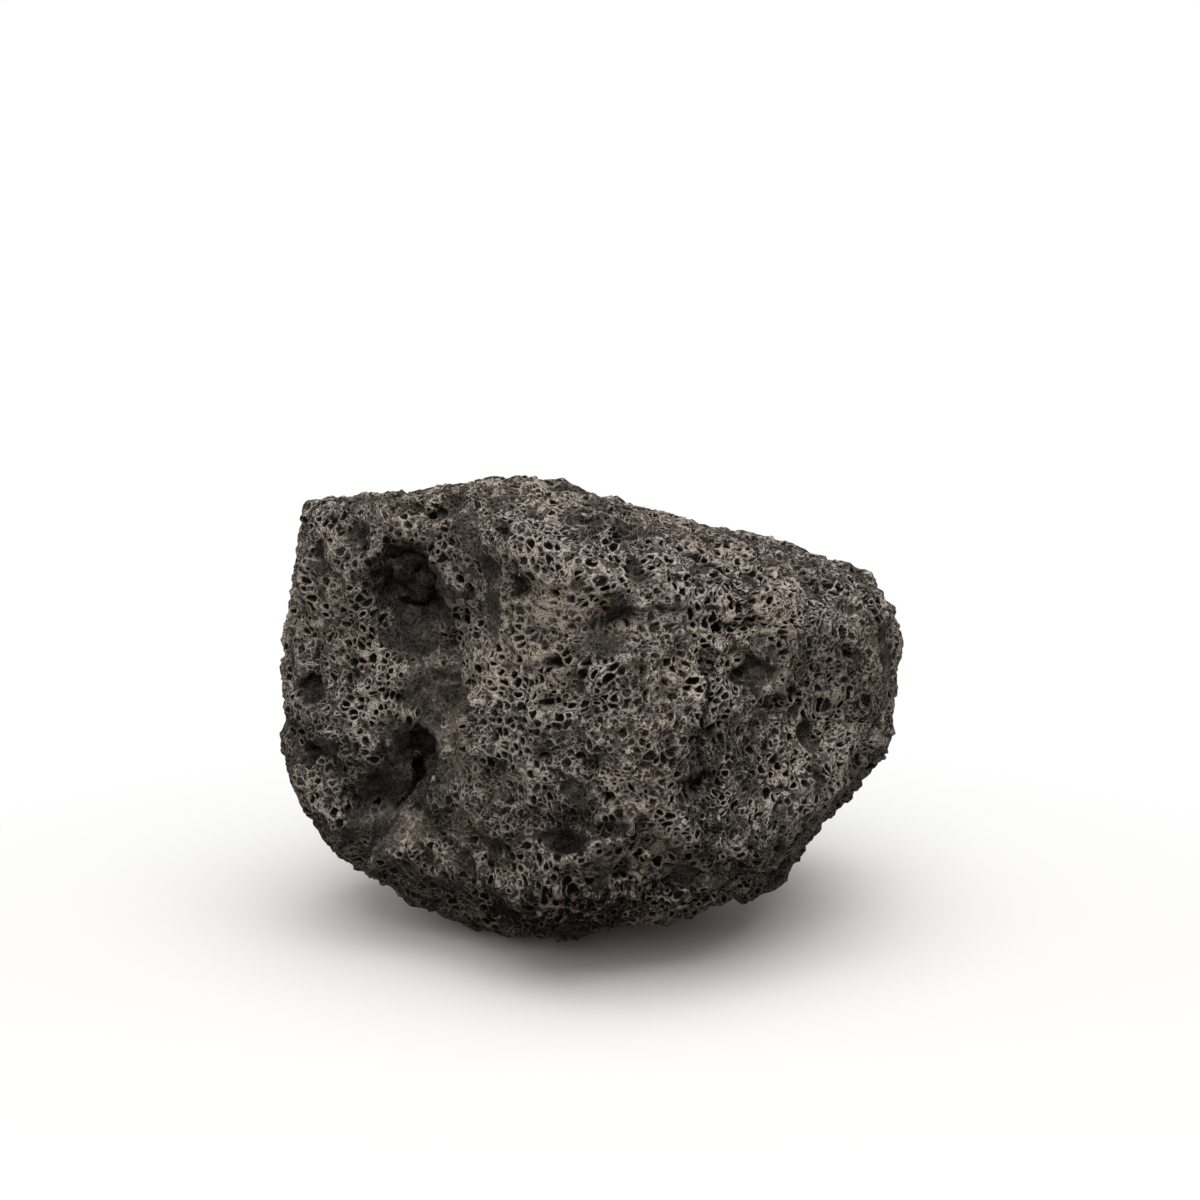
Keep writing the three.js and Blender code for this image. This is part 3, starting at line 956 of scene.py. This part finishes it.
def skin_material(settings):
    """Cellular iron: pale dusty rims round near-black bubbles, in a mid grey that shows bare where the skin
    is worn smooth. Painted shade darkens the bubbles, holes, cracks and hollows, the low places, the tops and
    the underside."""
    graph = Graph("cellular_iron")
    own = graph.node("ShaderNodeTexCoord", {}, {}).outputs["Object"]
    coarse, calm, dark, dust = (graph.read(name) for name in ("coarse", "calm", "dark", "dust"))
    high, upright = graph.read("high"), graph.read("upright")
    grit, grain = graph.noise(own, GRIT), graph.noise(own, GRAIN)
    blotch, region = graph.noise(own, BLOTCH), graph.noise(own, REGION)

    kept = graph.node("ShaderNodeAttribute", {"attribute_name": "cell_place"}, {}).outputs["Vector"]
    inputs = {"Vector": own, "Scale": WANDER, "Detail": WANDER_DETAIL}
    wander = graph.node("ShaderNodeTexNoise", {}, inputs).outputs["Color"]
    centred = graph.vector("SUBTRACT", wander, (0.5, 0.5, 0.5))
    place = graph.vector("MULTIPLY_ADD", centred, (WANDER_PUSH,) * 3, kept)
    finer = graph.vector("MULTIPLY_ADD", own, (1 / settings.small_pitch,) * 3, wander)
    sunk, rim = bubbles(graph, place)
    small_sunk, small_rim = bubbles(graph, finer)
    large = (1 - CALM_SHARE * calm) * (COARSE_LEAST + (1 - COARSE_LEAST) * coarse)
    small = (1 - SMALL_WORN * calm) * (1 - SMALL_COARSE * coarse)

    # Painted shade in part: the bubbles' floors go dark for their depth as well as for their dark stone. The
    # dust patches make the skin paler, and darker with painted shade where their amount is below 0.
    tone = TONE_SKIN + dust * (1 - calm) + large * (TONE_RIM * rim - TONE_PIT * sunk)
    tone += small * (TONE_SMALL_RIM * small_rim - TONE_SMALL_PIT * small_sunk)
    # TONE_HIGH paints shade: the tone is lower where the folds are low and in the blisters.
    uneven = TONE_HIGH * (high - 0.5) + TONE_BLOTCH * (blotch - 0.5) + TONE_GRAIN * (grain - 0.5)
    tone += uneven + (TONE_GRIT + TONE_WORN_GRIT * calm) * (grit - 0.5)
    # Painted shade: the tone is lower where the skin faces up.
    tone += TONE_REGION * (region - 0.5) - TONE_TOP_SHADE * graph.step(upright, *TOP_SHADE_STEP)
    colours = [settings.pit_colour, settings.side_colour, settings.skin_colour]
    colours += [settings.edge_colour, settings.rim_colour]
    stops = list(zip(TONE_STOPS, colours))
    cellular = graph.node("ShaderNodeValToRGB", {"stops": stops}, {"Fac": tone}).outputs["Color"]
    warm = graph.blend(graph.step(region, *WARM_STEP), WHITE, settings.warmth)
    # Painted shade: the skin that faces the ground is tinted darker.
    under = graph.blend(graph.step(upright, *UNDERSIDE_SHADE_STEP), settings.painted_underside_shade, WHITE)
    tinted_and_shaded = graph.product(graph.product(cellular, warm), under)
    # The dark attribute holds the stone's dark smooth patches and painted shade in holes, cracks and hollows.
    colour = graph.blend(DARKEST * dark, tinted_and_shaded, settings.pit_colour)

    height = large * (BUMP_RIM * rim - BUMP_PIT * sunk)
    height += small * (BUMP_SMALL_RIM * small_rim - BUMP_SMALL_PIT * small_sunk)
    height += BUMP_GRIT * grit + BUMP_GRAIN * grain
    inputs = {"Height": height, "Strength": 1.0, "Distance": settings.depth * BUMP_DEPTH}
    bump = graph.node("ShaderNodeBump", {}, inputs)
    shader = graph.node(
        "ShaderNodeBsdfPrincipled",
        {},
        {
            "Base Color": colour,
            "Roughness": ROUGHNESS - ROUGHNESS_WORN * calm + ROUGHNESS_GRIT * (grit - 0.5),
            "Metallic": 0.0,
            "Specular IOR Level": SPECULAR,
            "Normal": bump.outputs["Normal"],
        },
    )
    graph.node("ShaderNodeOutputMaterial", {}, {"Surface": shader.outputs["BSDF"]})
    return graph.material


def floor_material(settings):
    """Matt white board, which thins out to nothing away from the stone and leaves the white light behind."""
    graph = Graph("white_board")
    own = graph.node("ShaderNodeTexCoord", {}, {}).outputs["Object"]
    shifted = graph.vector("SUBTRACT", own, FADE_MIDDLE)
    length = graph.node("ShaderNodeVectorMath", {"operation": "LENGTH"}, {0: shifted})
    away = Value(graph, length.outputs["Value"])
    board = graph.node("ShaderNodeBsdfDiffuse", {}, {"Color": (*settings.floor_colour, 1)})
    clear = graph.node("ShaderNodeBsdfTransparent", {}, {})
    far = graph.step(away, *settings.fade)
    shader = graph.node("ShaderNodeMixShader", {}, {0: far, 1: board.outputs[0], 2: clear.outputs[0]})
    graph.node("ShaderNodeOutputMaterial", {}, {"Surface": shader.outputs[0]})
    return graph.material


def light_tent(strength):
    """White wherever the camera looks past the floor, and a weaker light of the same white on the stone."""
    world = bpy.data.worlds.new("light_tent")
    world.use_nodes = True
    tree = world.node_tree
    background = tree.nodes["Background"]
    background.inputs["Color"].default_value = (1, 1, 1, 1)
    seen = tree.nodes.new("ShaderNodeLightPath")
    share = tree.nodes.new("ShaderNodeMapRange")
    share.inputs["To Min"].default_value = strength
    tree.links.new(seen.outputs["Is Camera Ray"], share.inputs["Value"])
    tree.links.new(share.outputs["Result"], background.inputs["Strength"])
    return world


def lamp(name, power, size, place):
    """A round soft lamp at a place, pointed at the middle of the stone."""
    light = bpy.data.lights.new(name, "AREA")
    light.shape, light.size, light.energy = "DISK", size, power
    made = bpy.data.objects.new(name, light)
    made.location = place
    made.rotation_euler = (Vector(HEART) * MM - Vector(place)).to_track_quat("-Z", "Y").to_euler()
    bpy.context.scene.collection.objects.link(made)


# ---- settings and operators


def colour_setting(name, description, default):
    """A colour that the user can change."""
    return bpy.props.FloatVectorProperty(
        name=name, description=description, default=default, subtype="COLOR", min=0, max=1
    )


class StoneSettings(bpy.types.PropertyGroup):
    """Sizes and colours of the stone."""

    pitch: bpy.props.FloatProperty(
        name="Cell pitch", description="Distance between the larger bubbles", default=1.35 * MM, unit="LENGTH"
    )
    depth: bpy.props.FloatProperty(
        name="Cell depth", description="Depth of the deepest bubbles", default=1.0 * MM, unit="LENGTH"
    )
    grid: bpy.props.FloatProperty(
        name="Grid", description="Side of the squares that are carved", default=0.24 * MM, unit="LENGTH"
    )
    small_pitch: bpy.props.FloatProperty(
        name="Small pitch", description="Distance between the small bubbles", default=0.65 * MM, unit="LENGTH"
    )
    triangles: bpy.props.IntProperty(
        name="Triangles", description="Triangles that the finished skin keeps", default=196000
    )
    rim_colour: colour_setting("Rim", "Dusty rims of the bubbles", (0.38, 0.333, 0.29))
    edge_colour: colour_setting("Edge", "Shoulders of the rims", (0.125, 0.108, 0.094))
    skin_colour: colour_setting("Skin", "Bare skin between the bubbles", (0.060, 0.051, 0.044))
    # The side and pit colours are partly the bubbles' dark stone and partly painted shade of their depth.
    side_colour: colour_setting("Side", "Sides of the bubbles", (0.022, 0.018, 0.0155))
    pit_colour: colour_setting("Pit", "Floor of the bubbles", (0.006, 0.0045, 0.004))
    warmth: colour_setting("Warmth", "Tint of the skin where the dust is tan", (1.0, 0.97, 0.92))
    # Painted shade: this tint darkens the skin that faces the ground.
    painted_underside_shade: colour_setting("Underside", "Tint of the skin that faces the ground", (0.28, 0.26, 0.24))


class StageSettings(bpy.types.PropertyGroup):
    """Floor, light and camera."""

    floor_colour: colour_setting("Floor", "Colour of the floor", (0.72, 0.71, 0.69))
    floor_radius: bpy.props.FloatProperty(
        name="Floor radius", description="Radius of the floor", default=3.0, unit="LENGTH"
    )
    fade: bpy.props.FloatVectorProperty(
        name="Fade",
        description="Where the floor's way to white starts and ends",
        size=2,
        default=(0.045, 0.17),
        unit="LENGTH",
    )
    sky: bpy.props.FloatProperty(name="Sky", description="Strength of the light all around", default=0.27)
    top_power: bpy.props.FloatProperty(name="Top lamp", description="Its power", default=7.6)
    front_power: bpy.props.FloatProperty(name="Front lamp", description="Its power", default=2.7)
    distance: bpy.props.FloatProperty(
        name="Camera distance", description="Camera in front of the stone", default=0.230, unit="LENGTH"
    )
    height: bpy.props.FloatProperty(
        name="Camera height", description="Camera above the floor", default=0.092, unit="LENGTH"
    )
    dip: bpy.props.FloatProperty(
        name="Camera dip", description="How far it looks down", default=math.radians(10), subtype="ANGLE"
    )
    lens: bpy.props.FloatProperty(name="Lens", description="Focal length in millimetres", default=45.0)


# The stage: each lamp's width and place, the camera's sideways place, sensor and clipping, in metres.
FLOOR_SIDES = 64
TOP_LAMP = (0.9, (0.03, -0.24, 0.75))
FRONT_LAMP = (0.5, (-0.1, -0.65, 0.45))
CAMERA_ASIDE = 0.0017
SENSOR = 36  # millimetres
NEAREST, FARTHEST = 0.01, 10


class METEORITE_OT_stone(bpy.types.Operator):
    """Carve the cellular skin over the plain lump"""

    bl_idname = "meteorite.stone"
    bl_label = "Meteorite"

    def execute(self, context):
        settings = context.scene.meteorite_stone
        mesh = skin_mesh(settings)
        mesh.name = "meteorite_skin"
        mesh.materials.clear()
        mesh.materials.append(skin_material(settings))
        piece = bpy.data.objects.new("meteorite_skin", mesh)
        context.scene.collection.objects.link(piece)
        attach(piece, "root")
        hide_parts(NODE)
        return {"FINISHED"}


class METEORITE_OT_stage(bpy.types.Operator):
    """Set the pale floor, the soft light and the camera"""

    bl_idname = "meteorite.stage"
    bl_label = "Stage"

    def execute(self, context):
        settings = context.scene.meteorite_stage
        scene = context.scene
        turns = np.linspace(0, 2 * math.pi, FLOOR_SIDES, endpoint=False)
        level = np.zeros(FLOOR_SIDES)
        rim = np.stack([np.cos(turns), np.sin(turns), level], axis=1) * settings.floor_radius
        mesh = bpy.data.meshes.new("floor")
        mesh.from_pydata(rim.tolist(), [], [list(range(FLOOR_SIDES))])
        mesh.materials.append(floor_material(settings))
        floor = bpy.data.objects.new("floor", mesh)
        scene.collection.objects.link(floor)

        scene.world = light_tent(settings.sky)
        scene.view_settings.view_transform = "Standard"
        lamp("overhead", settings.top_power, *TOP_LAMP)
        lamp("front", settings.front_power, *FRONT_LAMP)

        camera = bpy.data.cameras.new("camera")
        camera.lens, camera.sensor_width = settings.lens, SENSOR
        camera.clip_start, camera.clip_end = NEAREST, FARTHEST
        holder = bpy.data.objects.new("camera", camera)
        holder.location = (CAMERA_ASIDE, -settings.distance, settings.height)
        holder.rotation_euler = (math.pi / 2 - settings.dip, 0, 0)
        scene.collection.objects.link(holder)
        scene.camera = holder
        return {"FINISHED"}


class METEORITE_PT_panel(bpy.types.Panel):
    """Buttons and settings in the 3D view's sidebar"""

    bl_label = "Iron Meteorite"
    bl_idname = "METEORITE_PT_panel"
    bl_space_type = "VIEW_3D"
    bl_region_type = "UI"
    bl_category = "Meteorite"

    def draw(self, context):
        """A box with the button and the settings of each operator."""
        for operator, settings in (
            (METEORITE_OT_stone, context.scene.meteorite_stone),
            (METEORITE_OT_stage, context.scene.meteorite_stage),
        ):
            box = self.layout.box()
            box.operator(operator.bl_idname)
            for name in settings.__annotations__:
                box.prop(settings, name)


CLASSES = (StoneSettings, StageSettings, METEORITE_OT_stone, METEORITE_OT_stage, METEORITE_PT_panel)


def register():
    """Makes the settings, operators and panel known."""
    for one in CLASSES:
        bpy.utils.register_class(one)
    bpy.types.Scene.meteorite_stone = bpy.props.PointerProperty(type=StoneSettings)
    bpy.types.Scene.meteorite_stage = bpy.props.PointerProperty(type=StageSettings)


def unregister():
    """Takes them away again."""
    del bpy.types.Scene.meteorite_stage
    del bpy.types.Scene.meteorite_stone
    for one in reversed(CLASSES):
        bpy.utils.unregister_class(one)


def main():
    """Makes the stone and the stage."""
    register()
    bpy.ops.meteorite.stone()
    bpy.ops.meteorite.stage()


if __name__ == "__main__":
    main()
